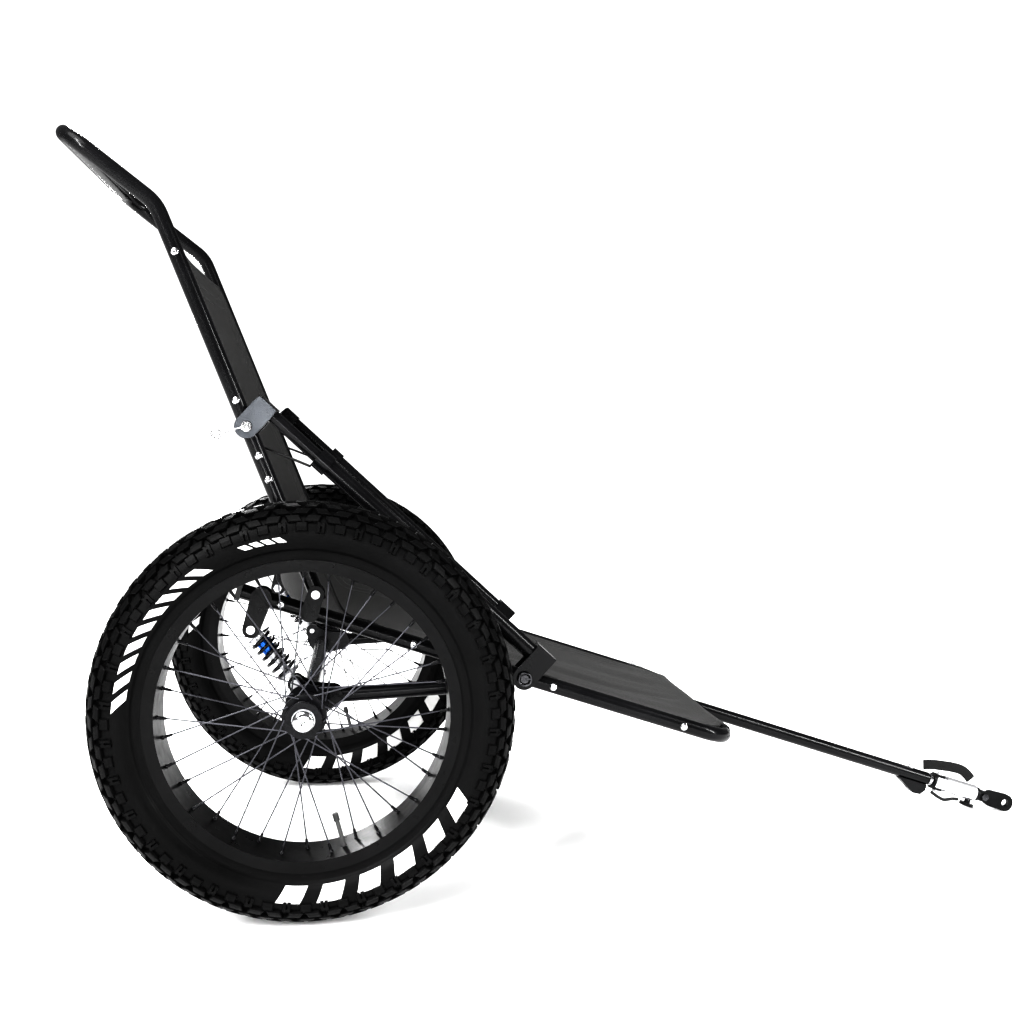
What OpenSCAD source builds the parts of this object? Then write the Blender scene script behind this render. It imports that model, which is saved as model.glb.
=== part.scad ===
// Two-wheel suspended bicycle trailer with a sling seat, towed from a swivelling nose hitch.
// +X points forward to the hitch, +Z up. The origin is on the ground below the middle of the trailer.

/* [Wheels] */
// Outside diameter of the tyre
wheel_d = 576; // [520:1:620]
// Width of the tyre
tyre_w = 98; // [80:1:104]
// Distance between the two wheels' middle planes
track_w = 650; // [640:1:720]
// Spokes in each wheel
spoke_count = 36; // [28:4:36]

/* [Frame] */
// Outside diameter of the frame tube
tube_d = 22; // [19:1:25]
// Wall of the frame tube
tube_wall = 2; // [1.5:0.5:3]
// Distance between the centre lines of the side tubes
frame_w = 480; // [420:1:484]
// Height of the seat tube's centre line straight above the axle
rail_rise = 125; // [115:1:135]
// Downward slope of the seat towards the front, in degrees
seat_slope = 18.2; // [16:0.1:19.5]
// Distance from the axle forward to the front seat tube
seat_reach = 626; // [560:1:700]
// Length of the backrest tube from its pivot to the handle bend
back_len = 585; // [500:1:640]
// Backward lean of the backrest from upright, in degrees
back_lean = 21.4; // [16:0.1:25]
// Length of the handle behind the bend
handle_len = 165; // [120:1:200]
// Backward lean of the handle from upright, in degrees
handle_lean = 52; // [45:0.5:60]

/* [Hitch] */
// Distance from the axle forward to the hitch eye
hitch_reach = 1205; // [1100:1:1300]
// Diameter of the hole for the bicycle's axle
eye_d = 12.5; // [10:0.5:14]
// Outside diameter of the swivel housing
housing_d = 28; // [26:1:32]

/* [Suspension] */
// Wire of the shock spring
coil_wire = 5.5; // [4:0.5:6]
// Turns of the shock spring
coil_turns = 5; // [4:0.5:6]

/* [Hidden] */
$fn = 48;

// Tubes and the clearances between moving pieces
tube_r = tube_d / 2;
bore_r = tube_r - tube_wall;
side_y = frame_w / 2;
fit = 0.05;
ear_gap = 0.6;
ear_t = 4;
pin_r = 4;
cut = 1;

// Where things are across the trailer
wheel_y = track_w / 2;
axle_z = wheel_d / 2;
tongue_r = 15;
handle_rear = 3 - back_len * sin(back_lean) - handle_len * sin(handle_lean) + 28 * sin(seat_slope);
rear_x = handle_rear - tube_r;
axle_x = -(hitch_reach + tongue_r + rear_x) / 2;

// Side-view points, measured forward from the axle and up from the ground
function spot(x, z) = [axle_x + x, z];
function on_rail(x) = spot(x, axle_z + rail_rise - x * tan(seat_slope));
function off_rail(x, lift) = on_rail(x) + lift * [sin(seat_slope), cos(seat_slope)];
function lift3(p, y) = [p[0], y, p[1]];

axle = spot(0, axle_z);
bracket_x = 3;
back_pivot = off_rail(bracket_x, 28);
back_dir = [-sin(back_lean), cos(back_lean)];
hanger_x = -64.5;
shock_top = off_rail(hanger_x, -46.5);
shock_foot = axle + [-18, 23];
arm_x = 262;
arm_pivot = off_rail(arm_x, -27);
strut_foot = on_rail(310);
strut_grip = 255;
strut_top = back_pivot + strut_grip * back_dir;
strut_run = strut_foot - strut_top;
strut_len = norm(strut_run);
strut_angle = atan2(strut_run[1], strut_run[0]);
strut_off = 35;

// Seat frame, along its slope from the point above the axle
rail_rear = -97;
seat_front = seat_reach / cos(seat_slope);
corner_r = 45;
screw_spots = [-39, 158, 372, 579];
sling_half = side_y - 20.5;
sling_t = 3;

// Backrest, along the tube from its pivot
back_screw_spots = [175, 211, 294, 513];
sling_top = 527;
bend_r = 60;
bend_turn = handle_lean - back_lean;
bend_cut = bend_r * tan(bend_turn / 2);
handle_corner_r = 50;

// Struts, along the line from the top pin to the lower pin
strut_inner_r = 9.5;
strut_outer_r = 12.5;
inner_start = -8;
inner_end = 300;
outer_start = 105;
open_hole_r = pin_r + 3.2;

// Hitch, along the tow bar's line from the eye back
eye = spot(hitch_reach, tongue_r);
bar_root = on_rail(seat_reach);
bar_run = bar_root - eye;
bar_len = norm(bar_run);
bar_slope = atan2(bar_run[1], -bar_run[0]);
bar_end = 153;
ring_pin_u = 188;
yaw_u = 131;
pitch_u = 44;
housing_front = 61;
housing_r = housing_d / 2;
knuckle_r = 8.5;
knuckle_half = 9;
anchor_u = 67;
shaft_r = 8;
bush_r = 11;

// Suspension
shock_run = shock_foot - shock_top;
shock_len = norm(shock_run);
shock_angle = atan2(shock_run[1], shock_run[0]);
shock_open_r = pin_r + 1.4;
coil_r = 15;
stub_r = 7.5;
stub_end = wheel_y + 61;

// Wheels: [radius, offset across the wheel]
rim_seat_r = wheel_d / 2 - 85;
rim_half = 40;
rim_lip = 8;
rim_t = 8;
section_r = wheel_d / 2 - 42;
flange_y = 33;
flange_r = 30;
spoke_r = 1;
spoke_lean = 55;
valve_angle = 75;

// Lanyard routes in the strut's own frame, as distance along, side and offset
lanyard = [for (p = [[102, 4, 18], [86, 7, 12], [68, 11, 5], [50, 15, -2], [34, 17.4, -8], [18, 17.9, -9], [4, 17.9, -6]])
    [p[0], side_y - p[1], p[2]]];
lanyard_r = 2;

// Safety cable below the hitch, as distance from the eye, side and offset
cable = [[145, -13, -18.5], [139, -14, -20.5], [131, -15, -23], [119, -14, -25], [109, -11, -22.5], [99, -7, -20], [88, -3, -18.6]];
cable_r = 3;

// Safety strap over the hitch, as distance from the eye and offset
strap_route = [[167, 21.5], [158, 24.8], [146, 27.6], [132, 30], [116, 32.2], [102, 33], [92, 31.5], [82, 27], [74.5, 22]];
strap_half = 9;

// ---- shared shapes ----

module placed_at(p) translate([p[0], 0, p[1]]) children();

// Both sides alike, drawn on the left
module both_sides() {
    children();
    mirror([0, 1, 0]) children();
}

module side(s) {
    if (s > 0) children();
    else mirror([0, 1, 0]) children();
}

module rod(a, b, r) {
    d = b - a;
    run = norm(d);
    translate(a) rotate([0, acos(d[2] / run), atan2(d[1], d[0])]) cylinder(h = run, r = r);
}

// Round bar across the trailer at a side-view point
module across(p, r, y0, y1) translate([p[0], y0, p[1]]) rotate([-90, 0, 0]) cylinder(h = y1 - y0, r = r);

// Side-view outline given a thickness across the trailer
module upright(y0, y1) translate([0, y1, 0]) rotate([90, 0, 0]) linear_extrude(y1 - y0) children();

// Flat link with round ends
module link(a, b, ra, rb) {
    d = b - a;
    n = [-d[1], d[0]] / norm(d);
    union() {
        translate(a) circle(ra);
        translate(b) circle(rb);
        polygon([a + n * ra, a - n * ra, b - n * rb, b + n * rb]);
    }
}

module pipe(x0, x1, r, bore) translate([x0, 0, 0]) rotate([0, 90, 0]) difference() {
    cylinder(h = x1 - x0, r = r);
    translate([0, 0, -cut]) cylinder(h = x1 - x0 + 2 * cut, r = bore);
}

module tube_section() difference() {
    circle(tube_r);
    circle(bore_r);
}

module bent_tube(radius, angle) rotate_extrude(angle = angle) translate([radius, 0]) tube_section();

module ring(radius, wire) rotate_extrude() translate([radius, 0]) circle(wire, $fn = 20);

// Frames in which pieces are drawn
module on_seat() translate([axle_x, 0, axle_z + rail_rise]) rotate([0, seat_slope, 0]) children();
module on_back() placed_at(back_pivot) rotate([0, -90 - back_lean, 0]) children();
module on_strut() placed_at(strut_top) rotate([0, -strut_angle, 0]) children();
module on_bar() placed_at(eye) mirror([1, 0, 0]) rotate([0, -bar_slope, 0]) children();
module on_shock() placed_at(shock_top) rotate([0, -shock_angle, 0]) children();
module on_wheel() translate([axle[0], wheel_y, axle[1]]) rotate([-90, 0, 0]) children();

// Tube swept along a list of points, closed at both ends
function path_dir(p, i) = let(a = p[max(i - 1, 0)], b = p[min(i + 1, len(p) - 1)]) (b - a) / norm(b - a);
function side_dir(d) = let(s = cross(d, [0.3, 0.1, 1])) s / norm(s);
function path_ring(p, i, r, n) = let(d = path_dir(p, i), s = side_dir(d), t = cross(d, s))
    [for (k = [0:n - 1]) p[i] + r * (s * cos(360 * k / n) + t * sin(360 * k / n))];
module swept(p, r, n) {
    rings = len(p);
    points = [for (i = [0:rings - 1]) each path_ring(p, i, r, n)];
    walls = [for (i = [0:rings - 2]) for (k = [0:n - 1])
        let(a = i * n + k, b = i * n + (k + 1) % n, c = (i + 1) * n + (k + 1) % n, d = (i + 1) * n + k)
        each [[a, b, c], [a, c, d]]];
    start = [for (k = [1:n - 2]) [0, k + 1, k]];
    finish = [for (k = [1:n - 2]) [0, k, k + 1] + (rings - 1) * n * [1, 1, 1]];
    polyhedron(points, concat(walls, start, finish));
}

// Coil about the X axis
function coil_points(x0, x1, radius, turns, steps) = [for (i = [0:turns * steps])
    [x0 + (x1 - x0) * i / (turns * steps), radius * cos(360 * i / steps), radius * sin(360 * i / steps)]];

// Rail cylinder used to fit brackets against the seat tube
module rail_solid() on_seat() translate([rail_rear, side_y, 0]) rotate([0, 90, 0])
    cylinder(h = seat_front - rail_rear, r = tube_r);

// Two ears beside the seat tube that carry a pivot bolt
module rail_ears(root, pivot, root_r, pivot_r) difference() {
    for (s = [-1, 1]) {
        y0 = side_y + s * (tube_r + ear_gap + ear_t / 2) - ear_t / 2;
        pad_y = side_y + s * (tube_r - 1.2);
        upright(y0, y0 + ear_t) link(root, pivot, root_r, pivot_r);
        across(root, root_r - 2, pad_y - 2, pad_y + 2);
    }
    rail_solid();
    across(pivot, pin_r + fit, side_y - 30, side_y + 30);
}

// Bolt with a round head outside and a nut inside, through ears at the side tube
module pivot_bolt(p) {
    head = side_y + tube_r + ear_gap + ear_t;
    nut = side_y - tube_r - ear_gap - ear_t;
    across(p, pin_r, nut - 5, head + 1);
    across(p, 6, head + 0.1, head + 4);
    translate([p[0], nut - 5, p[1]]) rotate([-90, 0, 0]) cylinder(h = 4.9, r = 7.5, $fn = 6);
}

// ---- chassis ----

module screw_bore(x) translate([x, side_y, 0]) rotate([-90, 0, 0]) cylinder(h = tube_r + cut, r = 2.6);

module screw(x) {
    translate([x, side_y + bore_r - 1, 0]) rotate([-90, 0, 0]) cylinder(h = tube_wall + 2, r = 2.5);
    translate([x, side_y + tube_r, 0]) rotate([-90, 0, 0]) cylinder(h = 1.6, r = 5.6);
    translate([x, side_y + tube_r + 1.6, 0]) rotate([-90, 0, 0]) cylinder(h = 1.6, r1 = 5.6, r2 = 3.4);
}

module seat_frame() color([0.03, 0.03, 0.035]) difference() {
    on_seat() {
        both_sides() {
            translate([0, side_y, 0]) pipe(rail_rear, seat_front - corner_r, tube_r, bore_r);
            translate([seat_front - corner_r, side_y - corner_r, 0]) bent_tube(corner_r, 90);
        }
        translate([seat_front, 0, 0]) rotate([0, 0, 90])
            pipe(-side_y + corner_r, side_y - corner_r, tube_r, bore_r);
    }
    both_sides() {
        on_seat() for (x = screw_spots) screw_bore(x);
        across(strut_foot, pin_r + fit, side_y - 20, side_y + 20);
    }
}

module seat_end_plugs() color([0.05, 0.05, 0.05]) on_seat() both_sides() translate([rail_rear, side_y, 0]) {
    translate([-7, -13, -13]) cube([7, 26, 26]);
    rotate([0, 90, 0]) cylinder(h = 14, r = bore_r - fit);
}

// The sheet between the rails, with its front corners cut to the inside of the frame's bends
module seat_sling() color([0.12, 0.12, 0.12]) on_seat() {
    bend_in = corner_r - tube_r - 0.5;
    bend_x = seat_front - corner_r;
    bend_y = side_y - corner_r;
    nose = bend_in - 0.5;
    cut_x = bend_x + sqrt(bend_in * bend_in - pow(sling_half - bend_y, 2));
    cut_y = bend_y + sqrt(bend_in * bend_in - nose * nose);
    translate([0, 0, -sling_t / 2]) linear_extrude(height = sling_t) polygon([
        [-45, -sling_half], [cut_x, -sling_half], [bend_x + nose, -cut_y],
        [bend_x + nose, cut_y], [cut_x, sling_half], [-45, sling_half]]);
}

module seat_screws() color([0.8, 0.8, 0.8]) on_seat() both_sides() for (x = screw_spots) screw(x);

module back_brackets() color([0.03, 0.03, 0.035]) both_sides()
    rail_ears(on_rail(bracket_x), back_pivot, 13, 12);

module shock_hangers() color([0.03, 0.03, 0.035]) both_sides()
    rail_ears(on_rail(hanger_x), shock_top, 15, 12);

module arm_brackets() color([0.03, 0.03, 0.035]) both_sides()
    rail_ears(on_rail(arm_x), arm_pivot, 13, 12);

module pivot_bolts() color([0.8, 0.8, 0.8]) both_sides() {
    pivot_bolt(back_pivot);
    pivot_bolt(shock_top);
    pivot_bolt(arm_pivot);
}

// Small ring pin standing on top of the left rail only
module rail_ring_pin() color([0.7, 0.7, 0.72]) on_seat() translate([612, side_y, tube_r]) {
    translate([0, 0, 0.1]) cylinder(h = 7, r = 4);
    translate([17, 0, 0.1]) cylinder(h = 6, r = 3.5);
    translate([0, 0, 12]) rotate([90, 0, 0]) ring(8, 1.4);
}

module strut_lower_pin(s) color([0.7, 0.7, 0.72]) side(s) {
    outer = side_y + tube_r + ear_gap + ear_t;
    across(strut_foot, pin_r, side_y - 19, outer + 1);
    across(strut_foot, 6, outer + 0.5, outer + 5);
    translate([strut_foot[0], outer + 6.5, strut_foot[1]]) rotate([90, 0, 0]) ring(9, 1.5);
    across(strut_foot + [8, 0], 1.2, outer + 4, outer + 7);
    rod(lift3(strut_foot, outer + 4.5), lift3(strut_foot + [9, 0], outer + 6.5), 1.4);
}

// ---- backrest ----

// The backrest tubes up to the end of their bend, drawn along their straight part and then placed
module backrest_tubes() color([0.03, 0.03, 0.035]) on_back() both_sides() difference() {
    union() {
        translate([0, side_y, 0]) pipe(-tube_r, back_len - bend_cut, tube_r, bore_r);
        translate([back_len - bend_cut, side_y, bend_r]) rotate([90, 0, 0]) rotate([0, 0, -90])
            bent_tube(bend_r, bend_turn);
    }
    for (x = back_screw_spots) screw_bore(x);
    across([0, 0], pin_r + fit, side_y - 20, side_y + 20);
    across([strut_grip, 0], pin_r + fit, side_y - 20, side_y + 20);
}

// The handle past the bend: two short legs, two corners and the bar across
module handle_bow() color([0.03, 0.03, 0.035]) on_back()
    translate([back_len, 0, 0]) rotate([0, -bend_turn, 0]) {
        both_sides() {
            translate([0, side_y, 0]) pipe(bend_cut, handle_len - handle_corner_r, tube_r, bore_r);
            translate([handle_len - handle_corner_r, side_y - handle_corner_r, 0])
                bent_tube(handle_corner_r, 90);
        }
        translate([handle_len, 0, 0]) rotate([0, 0, 90])
            pipe(-side_y + handle_corner_r, side_y - handle_corner_r, tube_r, bore_r);
    }

module back_sling() color([0.12, 0.12, 0.12]) on_back()
    translate([45, -sling_half, -sling_t / 2]) cube([sling_top - 45, 2 * sling_half, sling_t]);

module back_screws() color([0.8, 0.8, 0.8]) on_back() both_sides() for (x = back_screw_spots) screw(x);

// ---- struts ----

module strut_ears(x, hole) difference() {
    for (s = [-1, 1]) {
        y0 = side_y + s * (tube_r + ear_gap + 2) - 2;
        upright(y0, y0 + 4) union() {
            translate([x, 0]) circle(17);
            translate([x - 17, 0]) square([34, strut_off - 9]);
        }
    }
    across([x, 0], hole, side_y - 30, side_y + 30);
}

module strut_inner(s) color([0.03, 0.03, 0.035]) side(s) on_strut() {
    translate([0, side_y, strut_off]) pipe(inner_start, inner_end, strut_inner_r, strut_inner_r - 2);
    translate([inner_start - 4, side_y, strut_off]) rotate([0, 90, 0]) cylinder(h = 4, r = 12);
    difference() {
        translate([inner_start - 2, side_y - 15.6, 24.5]) cube([27, 31.2, 22]);
        translate([inner_start - 3, side_y, strut_off]) rotate([0, 90, 0])
            cylinder(h = 40, r = strut_inner_r - 1);
    }
    strut_ears(0, pin_r + fit);
}

module strut_outer(s) color([0.03, 0.03, 0.035]) side(s) on_strut() difference() {
    union() {
        translate([outer_start, side_y, strut_off]) rotate([0, 90, 0])
            cylinder(h = strut_len - outer_start, r = strut_outer_r);
        translate([outer_start - 5, side_y, strut_off]) rotate([0, 90, 0]) cylinder(h = 22, r = 15.5);
        translate([strut_len - 17, side_y - 15.6, 25]) cube([34, 31.2, 26]);
        strut_ears(strut_len, open_hole_r);
    }
    translate([outer_start - 6, side_y, strut_off]) rotate([0, 90, 0])
        cylinder(h = strut_len - outer_start - 14, r = strut_inner_r + fit);
}

module strut_top_pin(s) color([0.8, 0.8, 0.8]) side(s) {
    outer = side_y + tube_r + ear_gap + 4;
    bail = strut_top + [-34, -9];
    across(strut_top, pin_r, side_y - 18, outer + 1);
    across(strut_top, 7.5, outer + 0.5, outer + 7);
    rod(lift3(strut_top, outer + 5), lift3(bail, outer + 5), 1.3);
    translate([bail[0] - 7, outer + 5, bail[1] - 2]) rotate([90, 0, 0]) ring(6, 1.3);
}

module pin_lanyard(s) color([0.05, 0.05, 0.05]) side(s) on_strut() swept(lanyard, lanyard_r, 8);

// ---- tow bar and hitch ----

module tow_bar() color([0.03, 0.03, 0.035]) difference() {
    on_bar() pipe(bar_end, bar_len, tube_r, bore_r);
    on_seat() translate([seat_front, 0, 0]) rotate([90, 0, 0]) cylinder(h = 60, r = tube_r, center = true);
    on_bar() translate([ring_pin_u, 0, -20]) cylinder(h = 40, r = pin_r + fit);
}

module hitch_shank() color([0.05, 0.05, 0.05]) on_bar() difference() {
    union() {
        translate([bar_end - 1, 0, 0]) rotate([0, 90, 0]) cylinder(h = 88, r = bore_r - fit);
        translate([yaw_u + 10, 0, 0]) rotate([0, 90, 0]) cylinder(h = bar_end - yaw_u - 9.5, r = 6);
        translate([yaw_u + knuckle_r + 0.7, 0, 0]) rotate([0, 90, 0]) cylinder(h = 4, r = housing_r);
        for (s = [-1, 1]) translate([yaw_u, 0, s * (knuckle_half + ear_gap + ear_t / 2) - ear_t / 2]) {
            cylinder(h = ear_t, r = 10);
            translate([0, -9, 0]) cube([knuckle_r + 2, 18, ear_t]);
        }
    }
    translate([yaw_u, 0, -30]) cylinder(h = 60, r = pin_r + fit);
    translate([ring_pin_u, 0, -20]) cylinder(h = 40, r = pin_r + fit);
}

module hitch_block() color([0.05, 0.05, 0.05]) on_bar() difference() {
    upright(-9, 9) polygon([[206, -10], [206, -13], [175, -30], [161, -29], [154, -20], [154, -10]]);
    translate([100, 0, 0]) rotate([0, 90, 0]) cylinder(h = 120, r = tube_r);
    translate([ring_pin_u, 0, -40]) cylinder(h = 40, r = pin_r + 1);
}

module hitch_ring_pin() color([0.75, 0.75, 0.77]) on_bar() translate([ring_pin_u, 0, 0]) {
    translate([0, 0, -13]) cylinder(h = 26, r = pin_r);
    translate([0, 0, tube_r + 0.3]) cylinder(h = 5, r = 6.5);
    translate([0, 0, 23]) rotate([90, 0, 0]) ring(9, 1.4);
}

module hitch_spring() color([0.8, 0.8, 0.8]) on_bar()
    swept(coil_points(145.4, bar_end - 2.2, 9.4, 3, 14), 0.8, 8);

module yaw_bolt() color([0.75, 0.75, 0.77]) on_bar() translate([yaw_u, 0, 0]) {
    fork = knuckle_half + ear_gap + ear_t;
    translate([0, 0, -fork - 3]) cylinder(h = 2 * fork + 5, r = pin_r);
    translate([0, 0, fork + 0.1]) cylinder(h = 3.2, r = 6.5);
    translate([0, 0, -fork - 4]) cylinder(h = 3.9, r = 6.8, $fn = 6);
}

// Side-view outline of a band that follows a route, with square ends
function band_edge(p, half) = [for (i = [0:len(p) - 1])
    let(d = p[min(i + 1, len(p) - 1)] - p[max(i - 1, 0)]) p[i] + half * [-d[1], d[0]] / norm(d)];
function reversed(list) = [for (i = [len(list) - 1:-1:0]) list[i]];

module safety_strap() color([0.06, 0.06, 0.06]) on_bar() upright(-3, 3)
    polygon(concat(band_edge(strap_route, strap_half), reversed(band_edge(strap_route, -strap_half))));

module safety_cable() color([0.05, 0.05, 0.05]) on_bar() swept(cable, cable_r, 8);

module swivel_housing() color([0.85, 0.85, 0.87]) on_bar() difference() {
    union() {
        translate([housing_front, 0, 0]) rotate([0, 90, 0]) cylinder(h = 58, r = housing_r);
        translate([yaw_u, 0, -knuckle_half]) cylinder(h = 2 * knuckle_half, r = knuckle_r);
        translate([114, -knuckle_r, -knuckle_half]) cube([yaw_u - 114, 2 * knuckle_r, 2 * knuckle_half]);
    }
    translate([yaw_u, 0, -30]) cylinder(h = 60, r = pin_r + fit);
    translate([housing_front - cut, 0, 0]) rotate([0, 90, 0]) cylinder(h = 47, r = bush_r);
    translate([anchor_u, 0, -20]) cylinder(h = 10, r = 3.1);
}

module strap_anchor() color([0.06, 0.06, 0.06]) on_bar() translate([anchor_u, 0, 0]) {
    translate([0, 0, -housing_r - 8]) cylinder(h = 11, r = 3);
    translate([0, 0, -housing_r - 11]) cylinder(h = 5, r = 12);
    translate([0, 0, -housing_r - 6.1]) cylinder(h = 6, r = 5);
}

module swivel_bush() color([0.6, 0.5, 0.3]) on_bar() pipe(housing_front + 1, 104, bush_r - fit, shaft_r + fit);

module swivel_shaft() color([0.1, 0.1, 0.1]) on_bar() difference() {
    union() {
        translate([54, 0, 0]) rotate([0, 90, 0]) cylinder(h = 48, r = shaft_r);
        translate([54, 0, 0]) rotate([0, 90, 0]) cylinder(h = 6, r = 12);
        for (s = [-1, 1]) upright(s * 6.7 - 2.4, s * 6.7 + 2.4) link([pitch_u, 0], [51, 0], 9, 9);
    }
    across([pitch_u, 0], 3.5 + fit, -20, 20);
}

module tongue_bolt() color([0.75, 0.75, 0.77]) on_bar() {
    across([pitch_u, 0], 3.5, -12, 11);
    across([pitch_u, 0], 6, 9.2, 13);
    translate([pitch_u, -13, 0]) rotate([-90, 0, 0]) cylinder(h = 3.8, r = 6.5, $fn = 6);
}

module hitch_tongue() color([0.05, 0.05, 0.05]) on_bar() difference() {
    upright(-4, 4) {
        link([pitch_u, 0], [28, 0], 9, 9);
        link([28, 0], [0, 0], 14, tongue_r);
    }
    across([pitch_u, 0], 3.5 + fit, -20, 20);
    across([0, 0], eye_d / 2, -20, 20);
}

// ---- suspension ----

module swing_arms() color([0.03, 0.03, 0.035]) both_sides() difference() {
    union() {
        rod(lift3(axle + [14, 2], side_y), lift3(arm_pivot - [6, 0], side_y), tube_r);
        across(arm_pivot, 12, side_y - tube_r, side_y + tube_r);
    }
    across(arm_pivot, pin_r + fit, side_y - 20, side_y + 20);
}

module axle_plates() color([0.03, 0.03, 0.035]) both_sides() difference() {
    for (s = [-1, 1]) {
        y0 = side_y + s * (tube_r + 0.1 + ear_t / 2) - ear_t / 2;
        upright(y0, y0 + ear_t) {
            link(axle, shock_foot, 21, 11);
            link(axle, axle + [34, 3], 21, 15);
        }
    }
    across(axle, 12, side_y - 40, side_y + 40);
    across(shock_foot, pin_r + fit, side_y - 40, side_y + 40);
}

module axle_beam() color([0.03, 0.03, 0.035]) difference() {
    union() {
        across(axle, 11.9, -side_y - 19, side_y + 19);
        both_sides() across(axle, stub_r, side_y + 18, stub_end);
        both_sides() across(axle, 11, side_y + 19, wheel_y - 54);
    }
    both_sides() rod(lift3(axle + [14, 2], side_y), lift3(arm_pivot - [6, 0], side_y), tube_r);
}

module axle_caps() color([0.85, 0.85, 0.87]) both_sides() translate([axle[0], stub_end, axle[1]])
    rotate([-90, 0, 0]) {
        translate([0, 0, 0.1]) cylinder(h = 3, r = 14.5);
        translate([0, 0, 3.1]) cylinder(h = 3.5, r1 = 14.5, r2 = 9);
    }

module shock_lower_bolts() color([0.8, 0.8, 0.8]) both_sides() {
    across(shock_foot, pin_r, side_y - 20, side_y + 17);
    across(shock_foot, 6.5, side_y + 15.2, side_y + 18.5);
}

module shock_body(s) color([0.7, 0.7, 0.72]) side(s) on_shock() difference() {
    union() {
        across([0, 0], 9, side_y - 8, side_y + 8);
        translate([6, side_y, 0]) rotate([0, 90, 0]) cylinder(h = 48, r = 8.5);
        translate([12.5, side_y, 0]) rotate([0, 90, 0]) cylinder(h = 2.5, r = 17.5);
    }
    across([0, 0], pin_r + fit, 0, side_y + 20);
    translate([14, side_y, 0]) rotate([0, 90, 0]) cylinder(h = 50, r = 5 + fit);
}

module shock_shaft(s) color([0.75, 0.75, 0.78]) side(s) on_shock() difference() {
    union() {
        translate([40, side_y, 0]) rotate([0, 90, 0]) cylinder(h = shock_len - 46, r = 5);
        translate([shock_len - 19, side_y, 0]) rotate([0, 90, 0]) cylinder(h = 4, r = 17.5);
        across([shock_len, 0], 9, side_y - 8, side_y + 8);
    }
    across([shock_len, 0], shock_open_r, 0, side_y + 20);
}

module shock_spring(s) color([0.04, 0.04, 0.04]) side(s) on_shock() translate([0, side_y, 0])
    swept(coil_points(15 + coil_wire / 2 + 0.2, shock_len - 19 - coil_wire / 2 - 0.2, coil_r, coil_turns, 14),
        coil_wire / 2, 8);

// ---- wheels ----

function oval(half_w, half_h, from, to, steps) = [for (i = [0:steps]) let(a = from + (to - from) * i / steps)
    [section_r + half_h * sin(a), half_w * cos(a)]];

module tyre(s) color([0.07, 0.07, 0.07]) side(s) on_wheel() rotate_extrude($fn = 96) polygon(concat(
    oval(tyre_w / 2, 42, -38, 218, 28),
    [[rim_seat_r + 9, -36.6], [rim_seat_r + 0.2, -36.6], [rim_seat_r + 0.2, -30], [rim_seat_r + 11, -31.5]],
    oval(tyre_w / 2 - 4, 37.5, 218, -38, 28),
    [[rim_seat_r + 11, 31.5], [rim_seat_r + 0.2, 30], [rim_seat_r + 0.2, 36.6], [rim_seat_r + 9, 36.6]]));

module valve_place() rotate([0, 0, valve_angle]) rotate([0, 90, 0]) children();

module inner_tube(s) color([0.1, 0.1, 0.1]) side(s) on_wheel() {
    rotate_extrude() difference() {
        polygon(oval(tyre_w / 2 - 5.5, 36, 0, 350, 35));
        polygon(oval(tyre_w / 2 - 6.7, 34.8, 0, 350, 35));
    }
    valve_place() translate([0, 0, rim_seat_r - 46]) cylinder(h = 53.6, r = 3);
}

module rim(s) color([0.05, 0.05, 0.055]) side(s) on_wheel() difference() {
    rotate_extrude($fn = 96) polygon([
        [rim_seat_r - rim_t, -rim_half], [rim_seat_r + rim_lip, -rim_half], [rim_seat_r + rim_lip, -rim_half + 3],
        [rim_seat_r, -rim_half + 3], [rim_seat_r, rim_half - 3], [rim_seat_r + rim_lip, rim_half - 3],
        [rim_seat_r + rim_lip, rim_half], [rim_seat_r - rim_t, rim_half]]);
    valve_place() translate([0, 0, rim_seat_r - 20]) cylinder(h = 40, r = 4.2);
}

module spokes(s) color([0.15, 0.15, 0.16]) side(s) on_wheel()
    for (i = [0:spoke_count - 1]) {
        row = i % 2 == 0 ? 1 : -1;
        cross_way = floor(i / 2) % 2 == 0 ? 1 : -1;
        rim_a = 360 * i / spoke_count;
        hub_a = rim_a + cross_way * spoke_lean;
        head_y = row * flange_y + cross_way * 4.2;
        foot = [flange_r - 4, hub_a, head_y];
        rod([foot[0] * cos(hub_a), foot[0] * sin(hub_a), head_y],
            [(rim_seat_r - rim_t - 0.3) * cos(rim_a), (rim_seat_r - rim_t - 0.3) * sin(rim_a), row * 13], spoke_r);
    }

module hub(s) color([0.04, 0.04, 0.04]) side(s) on_wheel() difference() {
    union() {
        translate([0, 0, -52]) cylinder(h = 108, r = 21);
        translate([0, 0, 46]) cylinder(h = 10, r = 24);
        for (y = [-1, 1]) translate([0, 0, y * flange_y - 2]) cylinder(h = 4, r = flange_r);
    }
    translate([0, 0, -60]) cylinder(h = 120, r = 9);
    translate([0, 0, -53]) cylinder(h = 13, r = 15.5 + fit);
    translate([0, 0, 44]) cylinder(h = 13, r = 15.5 + fit);
}

module hub_bearings(s) color([0.7, 0.7, 0.72]) side(s) on_wheel() for (y = [-51, 45]) translate([0, 0, y])
    difference() {
        cylinder(h = 10, r = 15.5);
        translate([0, 0, -cut]) cylinder(h = 12, r = stub_r + fit);
    }

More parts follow.
